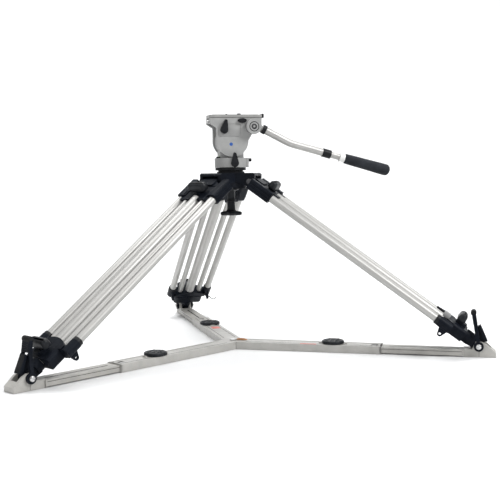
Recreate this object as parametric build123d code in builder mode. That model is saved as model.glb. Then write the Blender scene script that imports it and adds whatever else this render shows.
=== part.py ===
"""Two-stage video tripod with a fluid head on a telescopic ground spreader.

Frame: millimetres, +Z up, origin on the floor under the tripod's axis, at the underside of the
spreader's hub. Leg a points 15 degrees off +X, and legs b and c follow at 120 degree steps.
The head's pan bar points close to +X.
"""

import os
from math import atan2, cos, degrees, hypot, radians, sin

from build123d import *

# --- Driving dimensions -------------------------------------------------------------------------

LEG_AZIMUTHS = {"a": -15, "b": 105, "c": 225}
HEAD_YAW = 11

HINGE_RADIUS = 62
HINGE_HEIGHT = 456
FOOT_RADIUS = 658
FOOT_HEIGHT = 28

OUTER_TUBE_R = 10
OUTER_TUBE_X = 59
MID_TUBE_R = 8
MID_TUBE_X = 31
CENTRE_TUBE_R = 14
TUBE_WALL = 1.6

TOP_SOCKET_END = 76
SLIDER_TOP = 36
SLIDER_END = 90
GUIDE_TOP = 611.6
GUIDE_END = GUIDE_TOP + 37
CLAMP_TOP = GUIDE_END + 0.6
CLAMP_END = CLAMP_TOP + 37.4
UPPER_KNOB_S = 56
LOWER_KNOB_S = CLAMP_TOP + 9.4
KNOB_LENGTH = 65
KNOB_SIZE = 24

ARM_WIDTH = 53
ARM_HEIGHT = 20
ARM_END = 409
INNER_ARM_START = 252
INNER_ARM_WIDTH = 46
ARM_KNOB_R = 30
ARM_KNOB_RADIUS = 278
WINDOW_RADIUS = 390
BAIL_LEAN = {"a": 9, "b": 9, "c": 6}
SHOE_BACK = 38
SHOE_TIP = 43
SHOE_WIDTH = 40

BOWL_BALL_R = 37.5
BOWL_CENTRE = 483
CROWN_RIM = 479
FLANGE_TOP = 494
PAN_BASE_TOP = 519.5
TILT_AXIS = 565
CARRIER_TOP = 626
PLATE_TOP = 634.5
HEAD_HALF_WIDTH = 35
CHEEK_INNER = 22.8
CAMERA_SCREW_R = 4.76

ROSETTE_X = 55.5
ROSETTE_Z = 602
ROSETTE_R = 20.4
BAR_LATERAL = -48
BAR_R = 10.2
BAR_START = (77.5, 596.5)
BAR_BEND = (156, 556)
BAR_BEND_R = 125
BAR_END = (258.3, 528)
EXTENSION_R = 8.3
GRIP_LENGTH = 135
TILT_LEVER_PIVOT = (-22.4, 594)
TILT_LEVER_TIP = (-17.4, 618)
PLATE_LOCK_CENTRE = (26.5, 618.6)

RUNNING = 0.08
SEATED = 0.04

LEG_RUN = FOOT_RADIUS - HINGE_RADIUS
LEG_DROP = HINGE_HEIGHT - FOOT_HEIGHT
LEG_LENGTH = hypot(LEG_RUN, LEG_DROP)
LEG_SLOPE = degrees(atan2(LEG_DROP, LEG_RUN))
UP = Vector(0, 0, 1)


# --- Planes and shared helpers ------------------------------------------------------------------


def radial(azimuth):
    """Horizontal unit vector at an azimuth in degrees."""
    return Vector(cos(radians(azimuth)), sin(radians(azimuth)), 0)


class Member:
    """The planes of a long member. Its length s runs along `along`, and its upper side faces `up`."""

    def __init__(self, origin, along, up):
        self.origin = origin
        self.along = along
        self.up = up
        self.across = up.cross(along)

    def end(self, s=0):
        """Cross-section at s: sketch x is across, y is up, and it extrudes along the member."""
        return Plane(self.origin + self.along * s, x_dir=self.across, z_dir=self.along)

    def side(self, x=0):
        """Side view: sketch x is s, y is up, and it extrudes towards minus across."""
        return Plane(self.origin + self.across * x, x_dir=self.along, z_dir=-self.across)

    def face(self, n=0):
        """Seen from below: sketch x is across, y is s, and a minus extrusion goes upwards."""
        return Plane(self.origin + self.up * n, x_dir=self.across, z_dir=-self.up)


def leg_member(azimuth):
    slope = radians(LEG_SLOPE)
    out = radial(azimuth)
    along = out * cos(slope) - UP * sin(slope)
    up = out * sin(slope) + UP * cos(slope)
    return Member(out * HINGE_RADIUS + UP * HINGE_HEIGHT, along, up)


def arm_member(azimuth):
    return Member(Vector(0, 0, 0), radial(azimuth), UP)


def bail_member(azimuth, inward):
    lean = radians(inward)
    along = UP * cos(lean) - radial(azimuth) * sin(lean)
    up = radial(azimuth) * -cos(lean) - UP * sin(lean)
    return Member(radial(azimuth) * FOOT_RADIUS + UP * FOOT_HEIGHT, along, up)


def save(piece, name):
    piece.part.label = name
    export_step(piece.part, f"parts/{name}.step")


def tube_pair(plane, x, outer_r, wall, length):
    """A pair of tubes at plus and minus x from a cross-section plane."""
    with BuildPart() as pair:
        with BuildSketch(plane):
            with Locations((-x, 0), (x, 0)):
                Circle(outer_r)
                Circle(outer_r - wall, mode=Mode.SUBTRACT)
        extrude(amount=length)
    return pair


# --- Legs ---------------------------------------------------------------------------------------


def leg_top_casting(leg):
    """Hinge knuckle, arched web and the two sockets that hold the outer tubes."""
    socket_start = 8
    web_low = -10
    web_high = 12
    with BuildPart() as casting:
        with BuildSketch(leg.side()):
            Circle(12)
        extrude(amount=30, both=True)
        with BuildSketch(leg.face(web_low)):
            with BuildLine():
                Polyline(
                    (-30, 0), (30, 0), (30, 16), (48, 25), (48, 74), (42.5, 74), (42.5, 34),
                    (-42.5, 34), (-42.5, 74), (-48, 74), (-48, 25), (-30, 16), close=True,
                )
            make_face()
        extrude(amount=web_low - web_high)
        with BuildSketch(leg.face(web_high)):
            with Locations((0, 21)):
                RectangleRounded(58, 24, 6)
        extrude(amount=-3.5)
        with BuildSketch(leg.end(socket_start)):
            with Locations((-58.5, 0), (58.5, 0)):
                RectangleRounded(24, 30, 5)
        extrude(amount=TOP_SOCKET_END - socket_start)
        with BuildSketch(leg.end(socket_start + 5)):
            for side in (-1, 1):
                with Locations((side * 70.6, -8), (side * 70.6, 0), (side * 70.6, 8)):
                    Rectangle(2.4, 3.4)
        extrude(amount=TOP_SOCKET_END - socket_start - 10)
        with BuildSketch(leg.end(socket_start + 6)):
            with Locations((-OUTER_TUBE_X, 0), (OUTER_TUBE_X, 0)):
                Circle(OUTER_TUBE_R + SEATED)
        extrude(amount=TOP_SOCKET_END, mode=Mode.SUBTRACT)
        with BuildSketch(leg.side()):
            Circle(5 + RUNNING)
        extrude(amount=40, both=True, mode=Mode.SUBTRACT)
    return casting


def leg_guide_casting(leg):
    """Arched casting on the outer tubes' lower ends. The inner tubes run through it."""
    lug_n = -26
    lug_s = GUIDE_TOP + 22
    arch_foot = GUIDE_TOP + 25
    with BuildPart() as casting:
        with BuildSketch(leg.face(-15)):
            with BuildLine():
                Polyline((52, arch_foot), (52, GUIDE_END), (-52, GUIDE_END), (-52, arch_foot))
                ThreePointArc((-52, arch_foot), (0, GUIDE_TOP + 6), (52, arch_foot))
            make_face()
        extrude(amount=-30)
        with BuildSketch(leg.end(GUIDE_TOP)):
            with Locations((-OUTER_TUBE_X, 0), (OUTER_TUBE_X, 0)):
                Circle(13.5)
        extrude(amount=GUIDE_END - GUIDE_TOP)
        for side in (-1, 1):
            with BuildSketch(leg.side(side * OUTER_TUBE_X)):
                with BuildLine():
                    Polyline(
                        (lug_s - 13, -10), (lug_s + 13, -10), (lug_s + 6, lug_n - 3),
                        (lug_s - 6, lug_n - 3), close=True,
                    )
                make_face()
                with Locations((lug_s, lug_n)):
                    Circle(7)
            extrude(amount=3, both=True)
            with BuildSketch(leg.side(side * OUTER_TUBE_X)):
                with Locations((lug_s, lug_n)):
                    Circle(3.2)
            extrude(amount=5, both=True, mode=Mode.SUBTRACT)
        with BuildSketch(leg.end(GUIDE_TOP - 1)):
            with Locations((-OUTER_TUBE_X, 0), (OUTER_TUBE_X, 0)):
                Circle(OUTER_TUBE_R + SEATED)
        extrude(amount=GUIDE_END - GUIDE_TOP - 3, mode=Mode.SUBTRACT)
        with BuildSketch(leg.end(GUIDE_TOP - 1)):
            with Locations((-MID_TUBE_X, 0), (MID_TUBE_X, 0)):
                Circle(MID_TUBE_R + RUNNING)
            Circle(CENTRE_TUBE_R + RUNNING)
        extrude(amount=GUIDE_END, mode=Mode.SUBTRACT)
    return casting


def leg_middle_castings(leg):
    """The slider between the outer tubes, and the clamp on the middle tubes' lower ends."""
    half_thickness = 11
    saddle_start = TOP_SOCKET_END + 0.8
    with BuildPart() as castings:
        with BuildSketch(leg.end(SLIDER_TOP)):
            RectangleRounded(83, 2 * half_thickness, 4)
        extrude(amount=SLIDER_END - SLIDER_TOP)
        with BuildSketch(leg.end(saddle_start)):
            RectangleRounded(112, 18, 4)
        extrude(amount=SLIDER_END - saddle_start)
        with BuildSketch(leg.face(half_thickness)):
            with Locations((0, UPPER_KNOB_S)):
                Circle(11)
        extrude(amount=-5)
        with BuildSketch(leg.end(SLIDER_TOP + 12)):
            with Locations((-MID_TUBE_X, 0), (MID_TUBE_X, 0)):
                Circle(MID_TUBE_R + SEATED)
        extrude(amount=SLIDER_END, mode=Mode.SUBTRACT)
        with BuildSketch(leg.end(SLIDER_TOP - 1)):
            with Locations((-OUTER_TUBE_X, 0), (OUTER_TUBE_X, 0)):
                Circle(OUTER_TUBE_R + RUNNING)
        extrude(amount=SLIDER_END, mode=Mode.SUBTRACT)
        with BuildSketch(leg.end(SLIDER_END - 14)):
            Rectangle(30, 40)
        extrude(amount=SLIDER_END, mode=Mode.SUBTRACT)
        with BuildSketch(leg.face(half_thickness + 6)):
            with Locations((0, UPPER_KNOB_S)):
                Circle(4 + RUNNING)
        extrude(amount=14, mode=Mode.SUBTRACT)
        with BuildSketch(leg.end(CLAMP_TOP)):
            RectangleRounded(94, 32, 9)
        extrude(amount=CLAMP_END - CLAMP_TOP)
        with BuildSketch(leg.face(15)):
            with Locations((0, LOWER_KNOB_S + 6)):
                RectangleRounded(30, 30, 8)
        extrude(amount=-10)
        with BuildSketch(leg.end(CLAMP_TOP - 1)):
            Circle(CENTRE_TUBE_R + RUNNING)
        extrude(amount=60, mode=Mode.SUBTRACT)
        with BuildSketch(leg.end(CLAMP_TOP - 1)):
            with Locations((-MID_TUBE_X, 0), (MID_TUBE_X, 0)):
                Circle(MID_TUBE_R + SEATED)
        extrude(amount=28, mode=Mode.SUBTRACT)
        with BuildSketch(leg.face(26)):
            with Locations((0, LOWER_KNOB_S)):
                Circle(4 + RUNNING)
        extrude(amount=11, mode=Mode.SUBTRACT)
    return castings


def leg_knob(leg, s, low, stem_end):
    """Clamp knob: a long tapered paddle across the leg on a short screw."""
    with BuildPart() as knob:
        with BuildSketch(leg.face(low)):
            with Locations((0, s)):
                RectangleRounded(KNOB_LENGTH, KNOB_SIZE, 9)
        extrude(amount=-(KNOB_SIZE - 3), taper=5)
        with BuildSketch(leg.face(stem_end)):
            with Locations((0, s)):
                Circle(4)
        extrude(amount=stem_end - low - 4)
    return knob


def leg_foot(leg, arm):
    """Foot casting: socket for the centre tube, tongue to the foot pivot, and a rubber pad."""
    socket_start = CLAMP_END + 2
    socket_end = CLAMP_END + 21
    tongue_half = 10.3
    pad_top = (FOOT_RADIUS + 4, 82)
    pad_bottom = (FOOT_RADIUS + 22, 40)
    with BuildPart() as foot:
        with BuildSketch(leg.end(socket_start)):
            Circle(18)
        extrude(amount=socket_end - socket_start)
        with BuildSketch(leg.side()):
            with BuildLine():
                Polyline(
                    (socket_end - 10, -17), (socket_end - 10, 17), (LEG_LENGTH, 13),
                    (LEG_LENGTH, -13), close=True,
                )
            make_face()
            with Locations((LEG_LENGTH, 0)):
                Circle(13)
        extrude(amount=tongue_half, both=True)
        with BuildSketch(arm.side()):
            with BuildLine():
                Polyline(
                    (FOOT_RADIUS - 12, 40), (FOOT_RADIUS + 6, 24), (FOOT_RADIUS + 17, 42),
                    (FOOT_RADIUS, 78), (FOOT_RADIUS - 4, 78), close=True,
                )
            make_face()
        extrude(amount=8, both=True)
        with BuildSketch(leg.end(socket_start - 1)):
            Circle(CENTRE_TUBE_R + SEATED)
        extrude(amount=socket_end - 2 - socket_start, mode=Mode.SUBTRACT)
        with BuildSketch(leg.side()):
            with Locations((LEG_LENGTH, 0)):
                Circle(5 + RUNNING)
        extrude(amount=30, both=True, mode=Mode.SUBTRACT)
    with BuildPart() as pad:
        with BuildSketch(arm.side()):
            with BuildLine():
                Polyline(
                    pad_top, pad_bottom, (pad_bottom[0] - 8, pad_bottom[1] - 1),
                    (FOOT_RADIUS + 0.2, 78.2), close=True,
                )
            make_face()
        extrude(amount=11.5, both=True)
        add(foot.part, mode=Mode.SUBTRACT)
    with BuildPart() as joined:
        add(foot.part)
        add(pad.part)
    return joined


def leg_bail(bail):
    """Locking bail: two arms that rise from the foot pivot to a rounded cross bar."""
    with BuildPart() as piece:
        with BuildSketch(bail.face(-4.5)):
            with BuildLine():
                Polyline(
                    (27, 0), (27, 15), (17, 52), (15, 84), (-15, 84), (-17, 52), (-27, 15), (-27, 0),
                    (-21, 0), (-21, 22), (-12, 56), (12, 56), (21, 22), (21, 0), close=True,
                )
            make_face()
        extrude(amount=-9)
        for side in (-1, 1):
            with BuildSketch(bail.side(side * 24)):
                Circle(12.5)
            extrude(amount=3.2, both=True)
        with BuildSketch(bail.side()):
            with Locations((86, 0)):
                Circle(6.6)
        extrude(amount=14, both=True)
        with BuildSketch(bail.side()):
            Circle(5 + RUNNING)
        extrude(amount=40, both=True, mode=Mode.SUBTRACT)
    return piece


# --- Ground spreader ----------------------------------------------------------------------------


def spreader_inner_arm(arm):
    """Inner telescopic arm, the wedge shoe on its outer end, and the foot pivot's pin."""
    half_width = INNER_ARM_WIDTH / 2
    bottom = 2.3
    top = ARM_HEIGHT - 2.3
    joint = FOOT_RADIUS - SHOE_BACK
    with BuildPart() as inner:
        with BuildSketch(arm.end(INNER_ARM_START)):
            with Locations((0, (bottom + top) / 2)):
                Rectangle(2 * half_width, top - bottom)
                Rectangle(2 * half_width - 5, top - bottom - 4, mode=Mode.SUBTRACT)
        extrude(amount=joint - INNER_ARM_START)
        with BuildSketch(arm.face(bottom + 6)):
            with Locations((0, (ARM_END + joint) / 2 + 4)):
                SlotOverall(joint - ARM_END - 30, 5, rotation=90)
        extrude(amount=-20, mode=Mode.SUBTRACT)
    with BuildPart() as shoe:
        with BuildSketch(arm.side(SHOE_WIDTH / 2)):
            with Locations((FOOT_RADIUS, 0)):
                Polygon(
                    (-SHOE_BACK, 0), (SHOE_TIP, 0), (SHOE_TIP, 12), (20, 33), (8, 39), (-8, 39),
                    (-17, 20), (-SHOE_BACK, 20), align=None,
                )
        extrude(amount=SHOE_WIDTH)
        with BuildSketch(arm.face(8)):
            with Locations((0, FOOT_RADIUS + 5)):
                Rectangle(24, 50)
        extrude(amount=-50, mode=Mode.SUBTRACT)
        with BuildSketch(arm.side()):
            with Locations((FOOT_RADIUS, FOOT_HEIGHT)):
                Circle(5 + SEATED)
        extrude(amount=40, both=True, mode=Mode.SUBTRACT)
    with BuildPart() as pin:
        with BuildSketch(arm.side()):
            with Locations((FOOT_RADIUS, FOOT_HEIGHT)):
                Circle(5)
        extrude(amount=28, both=True)
        for side in (-1, 1):
            with BuildSketch(arm.side(side * 29)):
                with Locations((FOOT_RADIUS, FOOT_HEIGHT)):
                    Circle(6.6)
            extrude(amount=1.4, both=True)
    with BuildPart() as joined:
        add(inner.part)
        add(shoe.part)
        add(pin.part)
    return joined


def spreader_outer_arm(arm):
    """Outer telescopic arm: a box section with a mitred end that meets its neighbours at the hub."""
    half_width = ARM_WIDTH / 2
    tip = 0.4
    mitre = tip + half_width / 3 ** 0.5
    cavity_start = 40
    with BuildPart() as outer:
        with BuildSketch(arm.face(0)):
            with BuildLine():
                Polyline(
                    (0, tip), (half_width, mitre), (half_width, ARM_END), (-half_width, ARM_END),
                    (-half_width, mitre), close=True,
                )
            make_face()
        extrude(amount=-ARM_HEIGHT)
        with BuildSketch(arm.end(cavity_start)):
            with Locations((0, ARM_HEIGHT / 2)):
                Rectangle(INNER_ARM_WIDTH + 0.7, ARM_HEIGHT - 4)
        extrude(amount=ARM_END, mode=Mode.SUBTRACT)
        with BuildSketch(Plane.XY):
            Circle(31)
        extrude(amount=2.6, mode=Mode.SUBTRACT)
        with BuildSketch(Plane.XY):
            Circle(6.6)
        extrude(amount=30, mode=Mode.SUBTRACT)
        with BuildSketch(arm.face(15)):
            with Locations((0, ARM_KNOB_RADIUS)):
                Circle(4.4)
        extrude(amount=-10, mode=Mode.SUBTRACT)
        with BuildSketch(arm.face(ARM_HEIGHT - 3)):
            with Locations((0, WINDOW_RADIUS)):
                Rectangle(17, 17)
        extrude(amount=-10, mode=Mode.SUBTRACT)
    return outer


def spreader_knob(arm):
    """Round lock knob with finger pockets on top of an outer arm."""
    with BuildPart() as knob:
        with BuildSketch(arm.face(ARM_HEIGHT + 0.6)):
            with Locations((0, ARM_KNOB_RADIUS)):
                Circle(ARM_KNOB_R)
        extrude(amount=-9.5, taper=12)
        with BuildSketch(arm.face(ARM_HEIGHT + 6)):
            with Locations((0, ARM_KNOB_RADIUS)):
                with PolarLocations(18.5, 6):
                    Circle(6)
        extrude(amount=-10, mode=Mode.SUBTRACT)
        with BuildSketch(arm.face(ARM_HEIGHT - 2)):
            with Locations((0, ARM_KNOB_RADIUS)):
                Circle(4)
        extrude(amount=-4)
    return knob


def spreader_hub():
    """Plate under the three mitred ends, with the rivet that holds them."""
    with BuildPart() as hub:
        with BuildSketch(Plane.XY):
            Circle(30)
        extrude(amount=2.2)
        with BuildSketch(Plane.XY):
            Circle(6)
        extrude(amount=21.5)
        with BuildSketch(Plane.XY.offset(ARM_HEIGHT + 0.5)):
            Circle(10)
        extrude(amount=2.5)
    return hub


# --- Crown and bowl clamp -----------------------------------------------------------------------


def crown_casting():
    """Bowl casting with three hinge forks."""
    shell_r = 44.5
    ring_r = 46
    skirt_r = 42
    skirt_bottom = 438
    ear_inner = 30.4
    ear_outer = 40.4
    with BuildPart() as crown:
        with BuildSketch(Plane.XZ):
            with BuildLine():
                bottom = BOWL_CENTRE - shell_r
                Polyline(
                    (0, bottom + 20), (0, CROWN_RIM), (ring_r, CROWN_RIM), (ring_r, 453),
                    (skirt_r, skirt_bottom), (33, skirt_bottom), (33, 453),
                )
                quarter = BOWL_CENTRE - (shell_r**2 - 17.5**2) ** 0.5
                ThreePointArc((33, 453), (17.5, quarter), (0, bottom))
                Line((0, bottom), (0, bottom + 20))
            make_face()
        revolve(axis=Axis.Z)
        for azimuth in LEG_AZIMUTHS.values():
            arm = arm_member(azimuth)
            for middle in (-(ear_inner + ear_outer) / 2, (ear_inner + ear_outer) / 2):
                with BuildSketch(arm.side(middle)):
                    with Locations((HINGE_RADIUS, HINGE_HEIGHT)):
                        Circle(14)
                    with BuildLine():
                        Polyline(
                            (20, 458), (HINGE_RADIUS - 6, HINGE_HEIGHT - 12.6),
                            (HINGE_RADIUS, HINGE_HEIGHT - 14), (HINGE_RADIUS + 14, HINGE_HEIGHT),
                            (HINGE_RADIUS + 15, 472), (20, 472), close=True,
                        )
                    make_face()
                extrude(amount=(ear_outer - ear_inner) / 2, both=True)
            with BuildSketch(arm.side()):
                with BuildLine():
                    Polyline(
                        (20, 470.6), (HINGE_RADIUS + 15, 470.6), (HINGE_RADIUS + 15, 475),
                        (HINGE_RADIUS + 10, CROWN_RIM), (20, CROWN_RIM), close=True,
                    )
                make_face()
            extrude(amount=ear_outer, both=True)
            with BuildSketch(arm.side()):
                with Locations((HINGE_RADIUS, HINGE_HEIGHT)):
                    Circle(5 + SEATED)
            extrude(amount=50, both=True, mode=Mode.SUBTRACT)
        with Locations((0, 0, BOWL_CENTRE)):
            Sphere(BOWL_BALL_R + RUNNING, mode=Mode.SUBTRACT)
        with BuildSketch(Plane.XY.offset(430)):
            Circle(15)
        extrude(amount=20, mode=Mode.SUBTRACT)
    return crown


def hinge_pins():
    with BuildPart() as pins:
        for azimuth in LEG_AZIMUTHS.values():
            arm = arm_member(azimuth)
            with BuildSketch(arm.side()):
                with Locations((HINGE_RADIUS, HINGE_HEIGHT)):
                    Circle(5)
            extrude(amount=41, both=True)
            for side in (-1, 1):
                with BuildSketch(arm.side(side * 42.2)):
                    with Locations((HINGE_RADIUS, HINGE_HEIGHT)):
                        Circle(7.5)
                extrude(amount=1.5, both=True)
    return pins


def ball_base():
    """Levelling half ball with the head's flange above it and the clamp's stud below it."""
    with BuildPart() as ball:
        with Locations((0, 0, BOWL_CENTRE)):
            Sphere(BOWL_BALL_R)
        with BuildSketch(Plane.XY.offset(BOWL_CENTRE)):
            Circle(60)
        extrude(amount=60, mode=Mode.SUBTRACT)
        with BuildSketch(Plane.XY.offset(452)):
            Circle(60)
        extrude(amount=-60, mode=Mode.SUBTRACT)
        with BuildSketch(Plane.XY.offset(BOWL_CENTRE)):
            Circle(34)
        extrude(amount=4)
        with BuildSketch(Plane.XY.offset(486.2)):
            Circle(41.5)
        extrude(amount=FLANGE_TOP - 486.2)
        with BuildSketch(Plane.XY.offset(FLANGE_TOP)):
            Circle(14)
        extrude(amount=7)
        with BuildSketch(Plane.XY.offset(388)):
            Circle(6)
        extrude(amount=66)
    return ball


def bowl_clamp_knob():
    """Clamp handle under the bowl: spherical cup, long sleeve and a lobed knob."""
    knob_bottom = 364
    with BuildPart() as clamp:
        with BuildSketch(Plane.XY.offset(knob_bottom)):
            Circle(22)
            with PolarLocations(21, 5):
                Circle(9)
        extrude(amount=11.5)
        with BuildSketch(Plane.XY.offset(knob_bottom + 11)):
            Circle(10.8)
        extrude(amount=60)
        with BuildSketch(Plane.XY.offset(431)):
            Circle(21)
        extrude(amount=18)
        with Locations((0, 0, BOWL_CENTRE)):
            Sphere(44.9, mode=Mode.SUBTRACT)
        with BuildSketch(Plane.XY.offset(knob_bottom + 18)):
            Circle(6 + RUNNING)
        extrude(amount=70, mode=Mode.SUBTRACT)
    return clamp


# --- Fluid head ---------------------------------------------------------------------------------

HEAD = Member(UP * 0, radial(HEAD_YAW), UP)
NEAR = -HEAD_HALF_WIDTH


def near_side(gap=0.0):
    """The plane of the cheek that carries the levers. A sketch on it extrudes away from the head."""
    return HEAD.side(NEAR - gap)


def pan_base():
    """Pan base: round body with a boss for the drag control."""
    with BuildPart() as base:
        with BuildSketch(HEAD.face(FLANGE_TOP + 0.4)):
            Circle(43)
            with Locations((0, 38)):
                RectangleRounded(34, 21, 7)
        extrude(amount=FLANGE_TOP + 0.4 - PAN_BASE_TOP)
        with BuildSketch(HEAD.face(FLANGE_TOP)):
            Circle(14 + RUNNING)
        extrude(amount=-8, mode=Mode.SUBTRACT)
        with BuildSketch(HEAD.side(-45)):
            with Locations((3.6, 505)):
                Circle(3 + RUNNING)
        extrude(amount=-14, mode=Mode.SUBTRACT)
        with BuildSketch(HEAD.end(50)):
            with Locations((0, 514)):
                Circle(2 + RUNNING)
        extrude(amount=-14, mode=Mode.SUBTRACT)
    return base


def tilt_drum():
    """Fixed centre body between the cheeks. It holds the drag discs around the tilt axle."""
    half = 22.4
    with BuildPart() as drum:
        with BuildSketch(HEAD.side()):
            with Locations((0, TILT_AXIS)):
                Circle(39.5)
            with Locations((0, PAN_BASE_TOP + 12)):
                Rectangle(64, 24)
        extrude(amount=half, both=True)
        with BuildSketch(HEAD.side(half)):
            with Locations((0, TILT_AXIS)):
                Circle(33)
        extrude(amount=2 * half - 4, mode=Mode.SUBTRACT)
        with BuildSketch(HEAD.side()):
            with Locations((0, TILT_AXIS)):
                Circle(8 + RUNNING)
        extrude(amount=half + 5, both=True, mode=Mode.SUBTRACT)
    return drum


def tilt_drag_discs():
    """Fluid drag discs around the axle, inside the drum."""
    with BuildPart() as discs:
        for x in (-14, -7, 0, 7, 14):
            with BuildSketch(HEAD.side(x)):
                with Locations((0, TILT_AXIS)):
                    Circle(31)
                    Circle(9, mode=Mode.SUBTRACT)
            extrude(amount=2, both=True)
    return discs


def tilt_platform():
    """Tilting saddle: two round cheeks under a flat carrier with a groove for the camera plate."""
    with BuildPart() as saddle:
        with BuildSketch(HEAD.side()):
            with Locations((0, TILT_AXIS)):
                Circle(43.3)
            with BuildLine():
                Polyline(
                    (-43, TILT_AXIS), (-43, 600), (-60, 611), (-60, CARRIER_TOP), (80, CARRIER_TOP),
                    (80, 597), (55, 585), (43, TILT_AXIS), close=True,
                )
            make_face()
        extrude(amount=HEAD_HALF_WIDTH, both=True)
        with BuildSketch(HEAD.side()):
            with Locations((0, TILT_AXIS - 8)):
                Rectangle(300, 110)
        extrude(amount=CHEEK_INNER, both=True, mode=Mode.SUBTRACT)
        with BuildSketch(HEAD.end(-90)):
            with Locations((0, CARRIER_TOP)):
                Rectangle(32, 10)
        extrude(amount=200, mode=Mode.SUBTRACT)
        with BuildSketch(near_side()):
            with Locations((ROSETTE_X, ROSETTE_Z)):
                Circle(ROSETTE_R)
        extrude(amount=5)
        with BuildSketch(HEAD.side(CHEEK_INNER)):
            with Locations((0, TILT_AXIS)):
                Circle(20)
        extrude(amount=-0.2)
        with BuildSketch(near_side(-1.2)):
            with Locations((-8, 593)):
                RectangleRounded(62, 34, 8)
        extrude(amount=5, mode=Mode.SUBTRACT)
        with BuildSketch(HEAD.side()):
            with Locations((0, TILT_AXIS)):
                Circle(8 + SEATED)
        extrude(amount=HEAD_HALF_WIDTH - 3, both=True, mode=Mode.SUBTRACT)
        with BuildSketch(near_side(6)):
            with Locations(TILT_LEVER_PIVOT, PLATE_LOCK_CENTRE):
                Circle(3 + RUNNING)
            with Locations((ROSETTE_X, ROSETTE_Z)):
                Circle(4 + RUNNING)
        extrude(amount=-14, mode=Mode.SUBTRACT)
    return saddle


def tilt_axle():
    with BuildPart() as axle:
        with BuildSketch(HEAD.side()):
            with Locations((0, TILT_AXIS)):
                Circle(8)
        extrude(amount=HEAD_HALF_WIDTH - 3.4, both=True)
    return axle


def teardrop_lever(plane, pivot, tip, stem_depth):
    """Lever with a round hub and a narrow tip, on a stem that goes into the body behind it."""
    with BuildPart() as lever:
        with BuildSketch(plane):
            with Locations(pivot):
                Circle(10.6)
            with Locations(tip):
                Circle(4)
            make_hull()
        extrude(amount=8, taper=6)
        with BuildSketch(plane):
            with Locations(pivot):
                Circle(3)
        extrude(amount=-stem_depth)
    return lever


def plate_lock():
    with BuildPart() as lock:
        with BuildSketch(near_side(0.4)):
            with Locations(PLATE_LOCK_CENTRE):
                Ellipse(12.4, 6.5)
        with BuildSketch(near_side(8)):
            with Locations(PLATE_LOCK_CENTRE):
                Ellipse(11.4, 5.6)
        loft()
        with BuildSketch(near_side(0.4)):
            with Locations(PLATE_LOCK_CENTRE):
                Circle(3)
        extrude(amount=-7)
    return lock


def pan_drag_knob():
    with BuildPart() as knob:
        with BuildSketch(HEAD.end(49)):
            with Locations((0, 514)):
                Circle(4.6)
        extrude(amount=8.5)
        with BuildSketch(HEAD.end(38)):
            with Locations((0, 514)):
                Circle(2)
        extrude(amount=12)
    return knob


def camera_plate():
    """Sliding plate with a tongue below it and a slot for the camera's screws."""
    middle = 11
    with BuildPart() as plate:
        with BuildSketch(HEAD.face(CARRIER_TOP + 0.3)):
            with Locations((0, middle)):
                RectangleRounded(60, 144, 5)
        extrude(amount=CARRIER_TOP + 0.3 - PLATE_TOP)
        with BuildSketch(HEAD.face(CARRIER_TOP - 4.6)):
            with Locations((0, middle)):
                Rectangle(31.4, 138)
        extrude(amount=-6)
        with BuildSketch(HEAD.face(CARRIER_TOP - 6)):
            with Locations((0, 8)):
                SlotOverall(86, 10.2, rotation=90)
        extrude(amount=-20, mode=Mode.SUBTRACT)
        with BuildSketch(HEAD.face(CARRIER_TOP - 6)):
            with Locations((0, 8)):
                SlotOverall(94, 19, rotation=90)
        extrude(amount=-10.5, mode=Mode.SUBTRACT)
    return plate


def camera_screws():
    """Camera screw and anti-twist pin, both with a wide head in the plate's lower slot."""
    head_low = 624
    head_high = 630
    with BuildPart() as screws:
        for s, radius, top in ((25, CAMERA_SCREW_R, PLATE_TOP + 5), (-9.5, 2.5, PLATE_TOP + 4)):
            with BuildSketch(HEAD.face(head_low)):
                with Locations((0, s)):
                    Circle(8.5)
            extrude(amount=head_low - head_high)
            with BuildSketch(HEAD.face(head_high)):
                with Locations((0, s)):
                    Circle(radius - 0.3)
            extrude(amount=head_high - PLATE_TOP)
            with BuildSketch(HEAD.face(PLATE_TOP)):
                with Locations((0, s)):
                    Circle(radius)
            extrude(amount=PLATE_TOP - top)
    return screws


# --- Pan bar ------------------------------------------------------------------------------------


class BarAxis:
    """Points and section planes along the pan bar's two straight runs."""

    def __init__(self):
        run = BAR_END[0] - BAR_BEND[0]
        drop = BAR_BEND[1] - BAR_END[1]
        length = hypot(run, drop)
        self.outward = HEAD.along * (run / length) - UP * (drop / length)
        self.end = HEAD.side(BAR_LATERAL).from_local_coords(Vector(*BAR_END))

    def section(self, past_end):
        """Cross-section plane at a distance past the bar's end, facing outwards."""
        return Plane(self.end + self.outward * past_end, x_dir=HEAD.across, z_dir=self.outward)


BAR = BarAxis()


def start_section(back=0.0):
    """Cross-section plane at the bar's root, moved back towards the rosette."""
    run = BAR_BEND[0] - BAR_START[0]
    drop = BAR_START[1] - BAR_BEND[1]
    length = hypot(run, drop)
    inward = HEAD.along * (run / length) - UP * (drop / length)
    root = HEAD.side(BAR_LATERAL).from_local_coords(Vector(*BAR_START))
    return Plane(root - inward * back, x_dir=HEAD.across, z_dir=inward)


def bar_solid(radius):
    with BuildPart() as solid:
        with BuildLine(HEAD.side(BAR_LATERAL)) as path:
            FilletPolyline(BAR_START, BAR_BEND, BAR_END, radius=BAR_BEND_R)
        with BuildSketch(start_section()):
            Circle(radius)
        sweep(path=path.line)
    return solid


def pan_bar_tube():
    bore = bar_solid(BAR_R - 1.6)
    with BuildPart() as tube:
        add(bar_solid(BAR_R).part)
        add(bore.part, mode=Mode.SUBTRACT)
    return tube


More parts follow.
